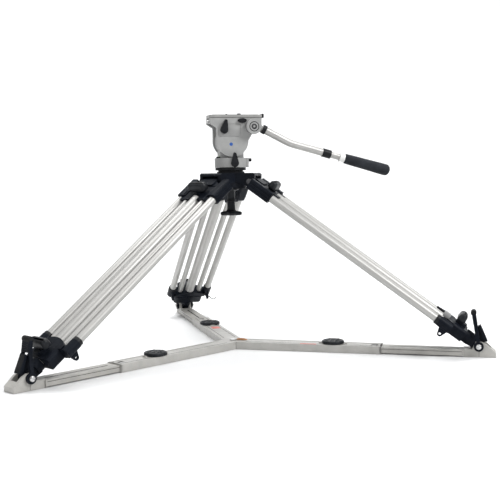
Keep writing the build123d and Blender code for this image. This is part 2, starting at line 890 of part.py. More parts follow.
def pan_bar_rosette():
    """Outer half of the rosette clamp, with a spigot that holds the bar."""
    outer_face = HEAD.side(-55.5)
    with BuildPart() as rosette:
        with BuildSketch(near_side(5.3)):
            with Locations((ROSETTE_X, ROSETTE_Z)):
                Circle(ROSETTE_R)
        extrude(amount=15.2)
        with BuildSketch(start_section(20)):
            Circle(7)
        extrude(amount=34)
        with BuildSketch(outer_face):
            with Locations((ROSETTE_X, ROSETTE_Z)):
                Circle(13.4)
                Circle(11.2, mode=Mode.SUBTRACT)
                Circle(7.6)
                Circle(3, mode=Mode.SUBTRACT)
        extrude(amount=-2.5, mode=Mode.SUBTRACT)
        with BuildSketch(near_side(5.3)):
            with Locations((ROSETTE_X, ROSETTE_Z)):
                Circle(4)
        extrude(amount=-10)
    return rosette


def pan_bar_collars():
    """Collar at the bar's root, and the lock sleeve around the bar's open end."""
    with BuildPart() as collars:
        with BuildSketch(start_section(-0.5)):
            Circle(12)
            Circle(BAR_R + SEATED, mode=Mode.SUBTRACT)
        extrude(amount=11)
        with BuildSketch(BAR.section(-14)):
            Circle(11.8)
            Circle(BAR_R + SEATED, mode=Mode.SUBTRACT)
        extrude(amount=15)
        with BuildSketch(BAR.section(0.5)):
            Circle(11.8)
            Circle(EXTENSION_R + RUNNING, mode=Mode.SUBTRACT)
        extrude(amount=9)
    return collars


EXTENSION_END = 36
GRIP_RING_R = 12.4


def pan_bar_extension():
    """Thin inner tube of the bar, with the ring that the grip butts on."""
    inside = 90
    with BuildPart() as extension:
        with BuildSketch(BAR.section(-inside)):
            Circle(EXTENSION_R)
        extrude(amount=inside + EXTENSION_END + 60)
        with BuildSketch(BAR.section(EXTENSION_END)):
            Circle(GRIP_RING_R)
        extrude(amount=14)
        with BuildSketch(BAR.section(-inside - 1)):
            Circle(EXTENSION_R - 1.4)
        extrude(amount=inside + EXTENSION_END + 70, mode=Mode.SUBTRACT)
    return extension


def pan_bar_grip():
    """Foam grip: a long taper with a rounded end."""
    start = EXTENSION_END + 14.2
    nose = 12
    with BuildPart() as grip:
        with BuildSketch(BAR.section(start)):
            Circle(13.4)
        with BuildSketch(BAR.section(start + GRIP_LENGTH - nose)):
            Circle(15.4)
        loft()
        with BuildSketch(BAR.section(start + GRIP_LENGTH - nose)):
            Circle(15.4)
        extrude(amount=nose, taper=32)
        with BuildSketch(BAR.section(start - 1)):
            Circle(EXTENSION_R + SEATED)
        extrude(amount=50, mode=Mode.SUBTRACT)
    return grip


# --- Build every piece --------------------------------------------------------------------------


def build_leg(name, azimuth):
    leg = leg_member(azimuth)
    arm = arm_member(azimuth)
    bail = bail_member(azimuth, BAIL_LEAN[name])
    outer_start = 14.2
    outer_tubes = tube_pair(
        leg.end(outer_start), OUTER_TUBE_X, OUTER_TUBE_R, TUBE_WALL, GUIDE_END - 4.4 - outer_start
    )
    mid_start = SLIDER_TOP + 12.2
    mid_end = CLAMP_END - 11
    middle_tubes = tube_pair(leg.end(mid_start), MID_TUBE_X, MID_TUBE_R, 1.4, mid_end - mid_start)
    centre_start = SLIDER_END - 13
    centre_end = CLAMP_END + 17.5
    save(leg_top_casting(leg), f"leg_{name}_top_casting")
    save(outer_tubes, f"leg_{name}_outer_tubes")
    save(leg_guide_casting(leg), f"leg_{name}_guide_casting")
    save(leg_middle_castings(leg), f"leg_{name}_middle_castings")
    save(middle_tubes, f"leg_{name}_middle_tubes")
    with BuildPart() as centre:
        with BuildSketch(leg.end(centre_start)):
            Circle(CENTRE_TUBE_R)
            Circle(CENTRE_TUBE_R - 1.8, mode=Mode.SUBTRACT)
        extrude(amount=centre_end - centre_start)
    save(centre, f"leg_{name}_centre_tube")
    save(leg_foot(leg, arm), f"leg_{name}_foot")
    save(leg_knob(leg, UPPER_KNOB_S, 17, 4), f"leg_{name}_upper_knob")
    save(leg_knob(leg, LOWER_KNOB_S, 27, 16), f"leg_{name}_lower_knob")
    save(leg_bail(bail), f"leg_{name}_bail")
    save(spreader_inner_arm(arm), f"spreader_{name}_inner_arm")
    save(spreader_outer_arm(arm), f"spreader_{name}_outer_arm")
    save(spreader_knob(arm), f"spreader_{name}_knob")


os.makedirs("parts", exist_ok=True)

for leg_name, leg_azimuth in LEG_AZIMUTHS.items():
    build_leg(leg_name, leg_azimuth)

save(spreader_hub(), "spreader_hub")
save(crown_casting(), "crown")
save(hinge_pins(), "hinge_pins")
save(ball_base(), "ball_base")
save(bowl_clamp_knob(), "bowl_clamp_knob")
save(pan_base(), "pan_base")
save(teardrop_lever(HEAD.side(-44), (3.6, 505), (3.6, 530), 10), "pan_brake_lever")
save(pan_drag_knob(), "pan_drag_knob")
save(tilt_drum(), "tilt_drum")
save(tilt_drag_discs(), "tilt_drag_discs")
save(tilt_platform(), "tilt_platform")
save(tilt_axle(), "tilt_axle")
save(teardrop_lever(near_side(0.4), TILT_LEVER_PIVOT, TILT_LEVER_TIP, 7), "tilt_brake_lever")
save(plate_lock(), "plate_lock")
save(camera_plate(), "camera_plate")
save(camera_screws(), "camera_screws")
save(pan_bar_rosette(), "pan_bar_rosette")
save(pan_bar_tube(), "pan_bar_tube")
save(pan_bar_collars(), "pan_bar_collars")
save(pan_bar_extension(), "pan_bar_extension")
save(pan_bar_grip(), "pan_bar_grip")
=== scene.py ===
"""Looks of the two-stage video tripod: finishes, small fittings, floor, light and camera."""

from math import atan2, cos, hypot, pi, radians, sin

import bmesh
import bpy
from mathutils import Matrix, Vector


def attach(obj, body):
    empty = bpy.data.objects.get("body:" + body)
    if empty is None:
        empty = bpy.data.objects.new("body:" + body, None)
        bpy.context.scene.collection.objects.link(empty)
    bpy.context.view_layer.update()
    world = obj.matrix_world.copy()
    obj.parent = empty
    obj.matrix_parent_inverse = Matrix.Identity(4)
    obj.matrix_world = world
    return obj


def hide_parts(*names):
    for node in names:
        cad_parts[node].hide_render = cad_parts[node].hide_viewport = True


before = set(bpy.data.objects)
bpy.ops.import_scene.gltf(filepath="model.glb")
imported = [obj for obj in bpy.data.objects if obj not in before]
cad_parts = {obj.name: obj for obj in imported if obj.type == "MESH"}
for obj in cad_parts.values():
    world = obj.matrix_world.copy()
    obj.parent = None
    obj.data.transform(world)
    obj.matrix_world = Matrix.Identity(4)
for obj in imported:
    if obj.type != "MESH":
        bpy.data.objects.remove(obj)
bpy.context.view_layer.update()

MM = 0.001
UP = Vector((0, 0, 1))

# --- Sizes shared with the CAD model, in millimetres and degrees ----------------------------------

LEG_AZIMUTHS = {"a": -15, "b": 105, "c": 225}
BAIL_LEAN = {"a": 9, "b": 9, "c": 6}
HEAD_YAW = 11

HINGE_RADIUS = 62
HINGE_HEIGHT = 456
FOOT_RADIUS = 658
FOOT_HEIGHT = 28
LEG_SLOPE = atan2(HINGE_HEIGHT - FOOT_HEIGHT, FOOT_RADIUS - HINGE_RADIUS)
OUTER_TUBE_X = 59
SOCKET_END = 76
GUIDE_TOP = 611.6
BAIL_GRIP = 86
# A knob's place is (distance down the leg, height of its base over the leg's middle plane).
UPPER_KNOB = (56, 17)
LOWER_KNOB = (658.6, 27)
KNOB_SIZE = (65, 24, 21)

ARM_WIDTH = 53
ARM_HEIGHT = 20
ARM_END = 409
ARM_KNOB_RADIUS = 278
WINDOW_RADIUS = 390
RAIL_RADIUS = 518.5

# The head's pairs are (height, distance forward), and the bar's are (distance forward, height).
HEAD_SIDE = -35
CHEEK_PANEL = (593, -8)
PLATE_TOP = 634.5
ROSETTE = (55.5, 602)
BAR_LATERAL = -48
BAR_BEND = (156, 556)
BAR_END = (258.3, 528)
GRIP_START = 50.2
GRIP_LENGTH = 135

# --- Fittings that only this script makes, in millimetres; the slope is in radians ----------------

PAD_SLOPE = atan2(0.394, 0.919)
GROOVE_RADIUS = 458
MARK_RADIUS = 214
CHEEK_DOT = (556, -4)
PLATE_MIDDLE = 11

# --- Camera and floor, in metres; the camera's angles are yaw, pitch and roll in degrees ----------

CAMERA_PLACE = (0.017, -2.512, 0.481)
CAMERA_ANGLES = (0.748, 4.839, -0.740)
CAMERA_LENS = 66.3
FLOOR_LEVEL = -0.0005
FLOOR_BACK = 3.0
FLOOR_CURVE = 1.5


# --- Placing --------------------------------------------------------------------------------------


class Axes:
    """A member's own axes. at(x, n, s) is a point across, up and along it, given in millimetres."""

    def __init__(self, origin, along, up):
        self.origin = Vector(origin) * MM
        self.along = Vector(along).normalized()
        self.up = Vector(up).normalized()
        self.across = self.up.cross(self.along)

    def at(self, x, n, s):
        return self.origin + (self.across * x + self.up * n + self.along * s) * MM

    def turned(self, x, n, s, along, up):
        """New axes at a point of these, with directions given as (across, up, along) triples."""
        make = lambda d: self.across * d[0] + self.up * d[1] + self.along * d[2]
        return Axes(self.at(x, n, s) / MM, make(along), make(up))


def radial(azimuth):
    return Vector((cos(radians(azimuth)), sin(radians(azimuth)), 0))


def leg_axes(azimuth):
    out = radial(azimuth)
    along = out * cos(LEG_SLOPE) - UP * sin(LEG_SLOPE)
    up = out * sin(LEG_SLOPE) + UP * cos(LEG_SLOPE)
    return Axes(out * HINGE_RADIUS + UP * HINGE_HEIGHT, along, up)


def arm_axes(azimuth):
    return Axes((0, 0, 0), radial(azimuth), UP)


def bail_axes(azimuth, inward):
    lean = radians(inward)
    along = UP * cos(lean) - radial(azimuth) * sin(lean)
    up = radial(azimuth) * -cos(lean) - UP * sin(lean)
    return Axes(radial(azimuth) * FOOT_RADIUS + UP * FOOT_HEIGHT, along, up)


HEAD = Axes((0, 0, 0), radial(HEAD_YAW), UP)


def bar_axes():
    """Axes at the pan bar's end, along the bar and out of it."""
    run = BAR_END[0] - BAR_BEND[0]
    drop = BAR_BEND[1] - BAR_END[1]
    length = hypot(run, drop)
    outward = HEAD.along * (run / length) - UP * (drop / length)
    return Axes(HEAD.at(BAR_LATERAL, BAR_END[1], BAR_END[0]) / MM, outward, outward.cross(HEAD.across))


BAR = bar_axes()


# --- Materials ------------------------------------------------------------------------------------


class Shader:
    """A small builder of node materials. Every texture follows the object's own coordinates."""

    def __init__(self, name):
        self.material = bpy.data.materials.new(name)
        self.material.use_nodes = True
        self.tree = self.material.node_tree
        self.principled = self.tree.nodes["Principled BSDF"]
        self.coordinates = self.tree.nodes.new("ShaderNodeTexCoord").outputs["Object"]

    def node(self, kind, inputs=(), **properties):
        node = self.tree.nodes.new(kind)
        for key, value in properties.items():
            setattr(node, key, value)
        for key, value in dict(inputs).items():
            if isinstance(value, bpy.types.NodeSocket):
                self.tree.links.new(value, node.inputs[key])
            else:
                node.inputs[key].default_value = value
        return node

    def noise(self, scale, detail=3.0, roughness=0.55, vector=None):
        inputs = {
            "Vector": vector or self.coordinates,
            "Scale": scale,
            "Detail": detail,
            "Roughness": roughness,
        }
        return self.node("ShaderNodeTexNoise", inputs).outputs[0]

    def cells(self, scale):
        inputs = {"Vector": self.coordinates, "Scale": scale}
        return self.node("ShaderNodeTexVoronoi", inputs).outputs["Distance"]

    def remap(self, value, low, high, to_low, to_high):
        inputs = {"Value": value, "From Min": low, "From Max": high, "To Min": to_low, "To Max": to_high}
        return self.node("ShaderNodeMapRange", inputs).outputs["Result"]

    def blend(self, factor, first, second):
        """Colour between two colours or sockets by a factor."""
        inputs = {0: factor, 6: as_colour(first), 7: as_colour(second)}
        return self.node("ShaderNodeMix", inputs, data_type="RGBA").outputs[2]

    def maths(self, operation, first, second):
        return self.node("ShaderNodeMath", {0: first, 1: second}, operation=operation).outputs[0]

    def dot(self, first, second):
        node = self.node("ShaderNodeVectorMath", {0: first, 1: second}, operation="DOT_PRODUCT")
        return node.outputs["Value"]

    def stretched(self, axes, fine, long):
        """Coordinates in a member's axes, so that grain runs along it."""
        directions = {"X": axes.across * fine, "Y": axes.up * fine, "Z": axes.along * long}
        inputs = {key: self.dot(self.coordinates, tuple(value)) for key, value in directions.items()}
        return self.node("ShaderNodeCombineXYZ", inputs).outputs[0]

    def edges(self, radius):
        """(rounded normal, edge mask) of the mesh's sharp edges."""
        rounded = self.node("ShaderNodeBevel", {"Radius": radius}, samples=4).outputs[0]
        plain = self.node("ShaderNodeNewGeometry").outputs["Normal"]
        return rounded, self.remap(self.dot(rounded, plain), 0.98, 0.75, 0.0, 1.0)

    def finish(self, colour, roughness, metallic=0.0, height=None, depth=0.0002, normal=None):
        self.set("Base Color", colour)
        self.set("Roughness", roughness)
        self.set("Metallic", metallic)
        if height is not None:
            inputs = {"Height": height, "Distance": depth, "Strength": 1.0}
            if normal is not None:
                inputs["Normal"] = normal
            self.set("Normal", self.node("ShaderNodeBump", inputs).outputs[0])
        elif normal is not None:
            self.set("Normal", normal)
        return self.material

    def set(self, key, value):
        if isinstance(value, bpy.types.NodeSocket):
            self.tree.links.new(value, self.principled.inputs[key])
        else:
            self.principled.inputs[key].default_value = as_colour(value) if key == "Base Color" else value


def as_colour(value):
    if isinstance(value, tuple) and len(value) == 3:
        return (*value, 1.0)
    return value


def paint(name, dark, light, worn, roughness, grain, depth, wear=0.5, edge=0.0009, metallic=0.0, shine=0.5):
    """Textured paint: mottled colour, fine orange-peel grain, and edges rubbed lighter."""
    s = Shader(name)
    mottle = s.remap(s.noise(28, 4), 0.35, 0.65, 0.0, 1.0)
    speck = s.remap(s.noise(grain * 1.7, 2), 0.4, 0.6, 0.0, 1.0)
    rounded, mask = s.edges(edge)
    patchy = s.maths("MULTIPLY", mask, s.remap(s.noise(90, 4), 0.4, 0.62, 0.1, wear))
    base = s.blend(s.maths("MULTIPLY", speck, 0.35), s.blend(mottle, dark, light), light)
    colour = s.blend(patchy, base, worn)
    rough = s.remap(s.noise(60, 4), 0.3, 0.7, roughness - 0.08, roughness + 0.1)
    s.set("Specular IOR Level", shine)
    return s.finish(colour, rough, metallic, s.noise(grain, 2), depth, rounded)


def anodised(name, axes, dark=(0.345, 0.342, 0.33), light=(0.48, 0.477, 0.462), roughness=0.42):
    """Drawn aluminium tube: faint lengthwise streaks, small scuffs and a satin shine."""
    s = Shader(name)
    streak = s.noise(1, 5, 0.6, s.stretched(axes, 900, 14))
    band = s.noise(1, 2, 0.5, s.stretched(axes, 240, 5))
    scuff = s.remap(s.noise(70, 6, 0.7), 0.58, 0.7, 0.0, 0.5)
    colour = s.blend(s.remap(streak, 0.3, 0.7, 0.0, 1.0), dark, light)
    colour = s.blend(scuff, colour, (0.34, 0.34, 0.33))
    rough = s.remap(band, 0.3, 0.7, roughness - 0.07, roughness + 0.09)
    return s.finish(colour, rough, 0.35, streak, 0.00004)


def plastic(name, dark, light, roughness=0.42, grain=1500, depth=0.00006, edge=0.0008, shine=0.3):
    """Moulded plastic: fine spark texture, slightly greyer where it is handled."""
    s = Shader(name)
    rounded, mask = s.edges(edge)
    handled = s.remap(s.noise(38, 4), 0.4, 0.7, 0.0, 1.0)
    colour = s.blend(handled, dark, light)
    colour = s.blend(s.maths("MULTIPLY", mask, 0.5), colour, tuple(min(1.0, c * 2.6) for c in light))
    rough = s.remap(s.noise(55, 3), 0.3, 0.7, roughness - 0.06, roughness + 0.12)
    s.set("Specular IOR Level", shine)
    return s.finish(colour, rough, 0.0, s.noise(grain, 2), depth, rounded)


def foam(name):
    """Closed-cell foam: tiny open pores and a dusty bloom."""
    s = Shader(name)
    pores = s.cells(900)
    dust = s.remap(s.noise(45, 5), 0.4, 0.75, 0.0, 1.0)
    colour = s.blend(dust, (0.012, 0.0135, 0.017), (0.028, 0.031, 0.037))
    s.set("Specular IOR Level", 0.2)
    height = s.maths("ADD", pores, s.maths("MULTIPLY", s.noise(260, 3), 0.8))
    return s.finish(colour, s.remap(dust, 0, 1, 0.78, 0.95), 0.0, height, 0.0004)


def turned(name, dark, light, roughness, metallic=1.0, edge=0.0004):
    """Machined metal: tool marks and a little tarnish."""
    s = Shader(name)
    rounded, mask = s.edges(edge)
    marks = s.noise(1400, 2)
    tarnish = s.remap(s.noise(120, 4), 0.35, 0.7, 0.0, 1.0)
    colour = s.blend(s.maths("MULTIPLY", mask, 0.6), s.blend(tarnish, light, dark), light)
    rough = s.remap(tarnish, 0, 1, roughness, roughness + 0.16)
    return s.finish(colour, rough, metallic, marks, 0.00003, rounded)


DARK_CASTING = paint(
    "blue_black_casting", (0.0035, 0.0048, 0.0078), (0.0085, 0.0108, 0.016), (0.06, 0.068, 0.082),
    0.40, 950, 0.00022, shine=0.07,
)
CROWN_CASTING = paint(
    "crown_casting", (0.0035, 0.0046, 0.0074), (0.008, 0.010, 0.015), (0.055, 0.062, 0.075),
    0.36, 900, 0.0002, shine=0.08,
)
HEAD_PAINT = paint(
    "head_paint", (0.262, 0.264, 0.262), (0.330, 0.332, 0.328), (0.55, 0.55, 0.54), 0.5, 1300, 0.00012, 0.45
)
PLATE_PAINT = paint(
    "plate_paint", (0.255, 0.255, 0.25), (0.33, 0.33, 0.32), (0.58, 0.58, 0.56), 0.42, 1500, 0.00008, 0.5
)
PANEL_PAINT = paint(
    "panel_paint", (0.242, 0.244, 0.242), (0.308, 0.310, 0.306), (0.46, 0.46, 0.45), 0.55, 1600, 0.00012, 0.2
)
SPREADER_PAINT = paint(
    "spreader_paint", (0.350, 0.343, 0.325), (0.430, 0.423, 0.402), (0.66, 0.66, 0.64),
    0.4, 1100, 0.00006, 0.6,
)
SHOE_PAINT = paint(
    "shoe_paint", (0.34, 0.335, 0.315), (0.43, 0.42, 0.395), (0.68, 0.68, 0.66), 0.46, 900, 0.00012, 0.8
)
BLACK_PLASTIC = plastic("black_plastic", (0.005, 0.0055, 0.007), (0.011, 0.012, 0.015), shine=0.2)
KNOB_PLASTIC = plastic(
    "knob_plastic", (0.006, 0.007, 0.009), (0.014, 0.016, 0.020), 0.38, 1200, 0.0001, 0.0014, 0.22
)
RUBBER = plastic(
    "black_rubber", (0.007, 0.0075, 0.008), (0.018, 0.019, 0.020), 0.7, 700, 0.00018, shine=0.2
)
# Painted shade: a near-black material with a plastic texture, for strips laid into slots, grooves, seams and
# the window as the shade in them.
SHADOW = plastic("painted_shade_recess", (0.006, 0.006, 0.007), (0.014, 0.014, 0.015), 0.75)
FOAM = foam("grip_foam")
STEEL = turned("turned_steel", (0.42, 0.42, 0.42), (0.72, 0.72, 0.72), 0.24)
SCREW = turned("blackened_screw", (0.05, 0.05, 0.055), (0.12, 0.12, 0.125), 0.36)
BRONZE = turned("bronze_wire", (0.30, 0.15, 0.07), (0.52, 0.28, 0.14), 0.3)
BAR_METAL = paint(
    "bar_metal", (0.36, 0.355, 0.345), (0.45, 0.445, 0.43), (0.7, 0.7, 0.7),
    0.36, 1200, 0.00004, 0.5, 0.0006, 0.35,
)
RED_MARK = plastic("red_mark", (0.55, 0.14, 0.12), (0.66, 0.26, 0.23), 0.5)
BLUE_MARK = plastic("blue_mark", (0.03, 0.09, 0.32), (0.05, 0.14, 0.42), 0.5)
RING_WHITE = plastic("pale_ring", (0.66, 0.66, 0.65), (0.80, 0.80, 0.79), 0.3, 900, 0.00003, shine=0.5)
VIAL = plastic("vial_green", (0.25, 0.42, 0.12), (0.38, 0.55, 0.20), 0.12, 600, 0.00001)


# --- Mesh code ------------------------------------------------------------------------------------


def piece(name, bm, material, body):
    """Turns a bmesh into an object that rides on a body."""
    bmesh.ops.recalc_face_normals(bm, faces=bm.faces)
    mesh = bpy.data.meshes.new(name)
    bm.to_mesh(mesh)
    bm.free()
    mesh.polygons.foreach_set("use_smooth", [True] * len(mesh.polygons))
    mesh.set_sharp_from_angle(angle=radians(38))
    mesh.materials.append(material)
    obj = bpy.data.objects.new(name, mesh)
    bpy.context.scene.collection.objects.link(obj)
    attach(obj, body)
    return obj


def together(parts):
    """Several bmeshes as one."""
    whole = bmesh.new()
    for part in parts:
        mesh = bpy.data.meshes.new("part")
        part.to_mesh(mesh)
        part.free()
        whole.from_mesh(mesh)
        bpy.data.meshes.remove(mesh)
    return whole


def loft(rings):
    """A closed skin over rings that have the same number of points."""
    bm = bmesh.new()
    loops = [[bm.verts.new(point) for point in ring] for ring in rings]
    count = len(loops[0])
    for lower, upper in zip(loops, loops[1:]):
        for i in range(count):
            j = (i + 1) % count
            bm.faces.new((lower[i], lower[j], upper[j], upper[i]))
    bm.faces.new(list(reversed(loops[0])))
    bm.faces.new(loops[-1])
    return bm


def rounded_outline(width, height, radius, steps=6):
    """Points round a rectangle with rounded corners, counter-clockwise from its right side."""
    points = []
    for cx, cy, start in ((1, 1, 0), (-1, 1, 90), (-1, -1, 180), (1, -1, 270)):
        for k in range(steps + 1):
            angle = radians(start + 90 * k / steps)
            x = cx * (width / 2 - radius) + radius * cos(angle)
            y = cy * (height / 2 - radius) + radius * sin(angle)
            points.append((x, y))
    return points


def block(axes, middle, size, radius, corner):
    """Block with rounded rims and corners. middle and size are (across, up, along)."""
    x0, n0, s0 = middle
    width, height, length = size
    soft = min(radius, height / 2.2, min(width, length) / 2.2)
    rings = []
    profile = [(0, soft), (0.3 * soft, 0.3 * soft), (soft, 0)]
    mirrored = [(height - h, inset) for h, inset in reversed(profile)]
    for h, inset in profile + mirrored:
        outline = rounded_outline(width - 2 * inset, length - 2 * inset, max(corner - inset, 0.15))
        rings.append([axes.at(x0 + x, n0 - height / 2 + h, s0 + s) for x, s in outline])
    return loft(rings)


def lathe(axes, x, n, profile, segments=48, lobes=None):
    """Solid of revolution about a line along the member, through (x, n).

    profile is (radius, s) pairs, and lobes(angle, radius) is a factor on the radius.
    """
    rings = []
    for radius, s in profile:
        ring = []
        for k in range(segments):
            angle = 2 * pi * k / segments
            r = radius * (lobes(angle, radius) if lobes else 1)
            ring.append(axes.at(x + r * cos(angle), n + r * sin(angle), s))
        rings.append(ring)
    return loft(rings)


def ring_skin(rings):
    """A skin over rings, with the last joined back to the first, such as a collar with a hole."""
    bm = bmesh.new()
    loops = [[bm.verts.new(point) for point in ring] for ring in rings]
    count = len(loops[0])
    for k, lower in enumerate(loops):
        upper = loops[(k + 1) % len(loops)]
        for i in range(count):
            j = (i + 1) % count
            bm.faces.new((lower[i], lower[j], upper[j], upper[i]))
    return bm


def round_ring(axes, section, segments):
    """Ring about a member's own line. section is (radius, s) pairs round its closed section."""
    angles = [2 * pi * k / segments for k in range(segments)]
    return ring_skin([[axes.at(r * cos(a), r * sin(a), s) for a in angles] for r, s in section])


def wire(name, points, radius, material, body):
    """Round bar bent along points, as a smooth curve turned into a mesh."""
    curve = bpy.data.curves.new(name + "_line", "CURVE")
    curve.dimensions = "3D"
    curve.bevel_depth = radius * MM
    curve.bevel_resolution = 5
    curve.resolution_u = 8
    curve.use_fill_caps = True
    spline = curve.splines.new("NURBS")
    spline.points.add(len(points) - 1)
    for target, point in zip(spline.points, points):
        target.co = (*point, 1.0)
    spline.order_u = 3
    spline.use_endpoint_u = True
    holder = bpy.data.objects.new(name + "_line", curve)
    bpy.context.scene.collection.objects.link(holder)
    bpy.context.view_layer.update()
    evaluated = holder.evaluated_get(bpy.context.evaluated_depsgraph_get())
    mesh = bpy.data.meshes.new_from_object(evaluated)
    bpy.data.objects.remove(holder)
    bm = bmesh.new()
    bm.from_mesh(mesh)
    bpy.data.meshes.remove(mesh)
    bmesh.ops.remove_doubles(bm, verts=bm.verts, dist=1e-6)
    return piece(name, bm, material, body)


def paint_node(name, material):
    """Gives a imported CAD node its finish."""
    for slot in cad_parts[name].material_slots:
        slot.material = material


# --- Legs -----------------------------------------------------------------------------------------


def paddle_knob(letter, which, axes, centre):
    """Clamp knob with a crowned top and a waist where the fingers hold it."""
    s, low = centre
    length, width, height = KNOB_SIZE
    waist = lambda x: 1 - 0.09 * cos(pi * min(1, abs(x) / (length / 2)) / 2) ** 2
    levels = [
        (0, 1.6), (0.8, 0.5), (2.4, 0), (9, 0.7), (15, 1.6), (18, 3.0), (19.8, 5.2), (20.8, 8.2),
        (height, 10.6),
    ]
    rings = []
    for h, inset in levels:
        corner = max(10.4 - inset * 0.6, 0.9)
        outline = rounded_outline(length - 2 * inset, width - 2 * inset, corner, 8)
        rings.append([axes.at(x, low + h, s + y * waist(x)) for x, y in outline])
    name = f"leg_{letter}_{which}_knob"
    knob = piece(f"{name}_body", loft(rings), KNOB_PLASTIC, name)
    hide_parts(name)
    stem_axes = axes.turned(0, 0, s, (0, 1, 0), (0, 0, 1))
    steps = [(3.7, low - 10.6), (3.7, low - 0.6), (6.5, low - 0.6), (6.5, low + 0.6)]
    piece(f"{name}_stem", lathe(stem_axes, 0, 0, steps, 32), STEEL, name)


def leg_details(letter, azimuth):
    axes = leg_axes(azimuth)
    upper = f"leg_{letter}_upper"
    paddle_knob(letter, "upper", axes, UPPER_KNOB)
    paddle_knob(letter, "lower", axes, LOWER_KNOB)
    tube = anodised(f"leg_{letter}_anodised", axes)
    for part in ("outer_tubes", "middle_tubes", "centre_tube"):
        paint_node(f"leg_{letter}_{part}", tube)
    for part in ("top_casting", "guide_casting", "middle_castings", "foot", "bail"):
        paint_node(f"leg_{letter}_{part}", DARK_CASTING)
    if letter == "a":
        guide_catch(axes)
    top = GUIDE_TOP
    sleeve = [(10.1, top - 9), (12.2, top - 8.6), (12.8, top - 7.2), (12.8, top + 0.2)]
    low = SOCKET_END
    seal = [(10.1, low), (11.6, low), (11.6, low + 1.6), (10.4, low + 2.4), (10.1, low + 2.4)]
    for side in (-1, 1):
        for part, profile in (("sleeve", sleeve), ("socket_seal", seal)):
            ring = lathe(axes, side * OUTER_TUBE_X, 0, profile)
            piece(f"leg_{letter}_{part}_{side + 1}", ring, BLACK_PLASTIC, upper)
    if letter == "b":
        start = axes.at(-64, -22, GUIDE_TOP + 22)
        bend = start - axes.across * 0.020 - UP * 0.021
        end = start - axes.across * 0.0245 - UP * 0.005
        wire("leg_b_guide_hook", [start, bend, end], 1.5, BLACK_PLASTIC, upper)
    foot_details(letter, azimuth)


def guide_catch(axes):
    """Grey catch on the guide casting of leg a, with its short rod."""
    catch = block(axes, (-30, 20, GUIDE_TOP + 10), (17, 15, 19), 1.6, 3)
    piece("leg_a_guide_catch", catch, HEAD_PAINT, "leg_a_upper")
    rod = lathe(axes, -30, 22, [(0.5, 589), (2.6, 589.3), (3.2, 590.4), (3.2, 613)], 24)
    piece("leg_a_catch_rod", rod, BLACK_PLASTIC, "leg_a_upper")


def foot_details(letter, azimuth):
    along = (0, -cos(PAD_SLOPE), sin(PAD_SLOPE))
    up = (0, sin(PAD_SLOPE), cos(PAD_SLOPE))
    pad_axes = arm_axes(azimuth).turned(0, 59.7, FOOT_RADIUS + 10.1, along, up)
    pad = block(pad_axes, (0, 0, 0), (22.9, 7, 46.4), 3.0, 9)
    piece(f"leg_{letter}_rubber_pad", pad, RUBBER, f"leg_{letter}_lower")
    bail = bail_axes(azimuth, BAIL_LEAN[letter])
    ribs = []
    for side in (-1, 1):
        for k in range(5):
            ribs.append(block(bail, (0, side * 4.7, 57.5 + 4.6 * k), (27.6, 1.6, 1.9), 0.5, 0.8))
    piece(f"leg_{letter}_bail_ribs", together(ribs), DARK_CASTING, f"leg_{letter}_bail")
    side_axes = bail.turned(0, 0, 0, (1, 0, 0), (0, 1, 0))
    grip = [(3, -14.6), (6.9, -14.2), (7.3, -12), (7.3, 12), (6.9, 14.2), (3, 14.6)]
    roller = lathe(side_axes, -BAIL_GRIP, 0, grip, 32)
    piece(f"leg_{letter}_bail_roller", roller, RUBBER, f"leg_{letter}_bail")


# --- Ground spreader ------------------------------------------------------------------------------


def spreader_knob(letter, arm):
    """Round lock knob: raised rim, six spokes and a dished middle."""
    segments = 96
    levels = [
        (27.2, 0.6, 0), (28.6, 1.0, 0), (29.6, 2.4, 0), (29.3, 6.2, 0), (28.3, 8.2, 0), (26.6, 9.2, 0),
        (24.8, 9.2, 0), (23.6, 8.4, 1), (21, 7.4, 1), (16, 7.2, 1), (12.4, 7.6, 1), (11, 9.0, 0),
        (9.4, 9.8, 0), (6, 9.8, 0), (4.6, 8.6, 0), (2.2, 8.2, 0), (0.4, 8.1, 0),
    ]
    rings = []
    for radius, height, pocket in levels:
        ring = []
        for k in range(segments):
            angle = 2 * pi * k / segments
            grip = 1 + (0.018 * cos(24 * angle) if radius > 28 else 0)
            spoke = max(0.0, cos(6 * angle)) ** 0.6 * 2.0 * pocket
            x = radius * grip * sin(angle)
            s = radius * grip * cos(angle)
            ring.append(arm.at(x, ARM_HEIGHT + height + spoke, ARM_KNOB_RADIUS + s))
        rings.append(ring)
    name = f"spreader_{letter}_knob"
    knob = piece(f"{name}_body", loft(rings), KNOB_PLASTIC, name)
    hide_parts(name)
    plate = [block(arm, (0, ARM_HEIGHT + 0.1, ARM_KNOB_RADIUS), (15, 0.9, 76), 0.2, 4)]
    for side in (-1, 1):
        place = (0, ARM_HEIGHT + 1.6, ARM_KNOB_RADIUS + side * 35)
        plate.append(block(arm, place, (13, 3.4, 6), 0.6, 1.6))
    outer = f"spreader_{letter}_outer"
    piece(f"spreader_{letter}_pointer", together(plate), SHOE_PAINT, outer)


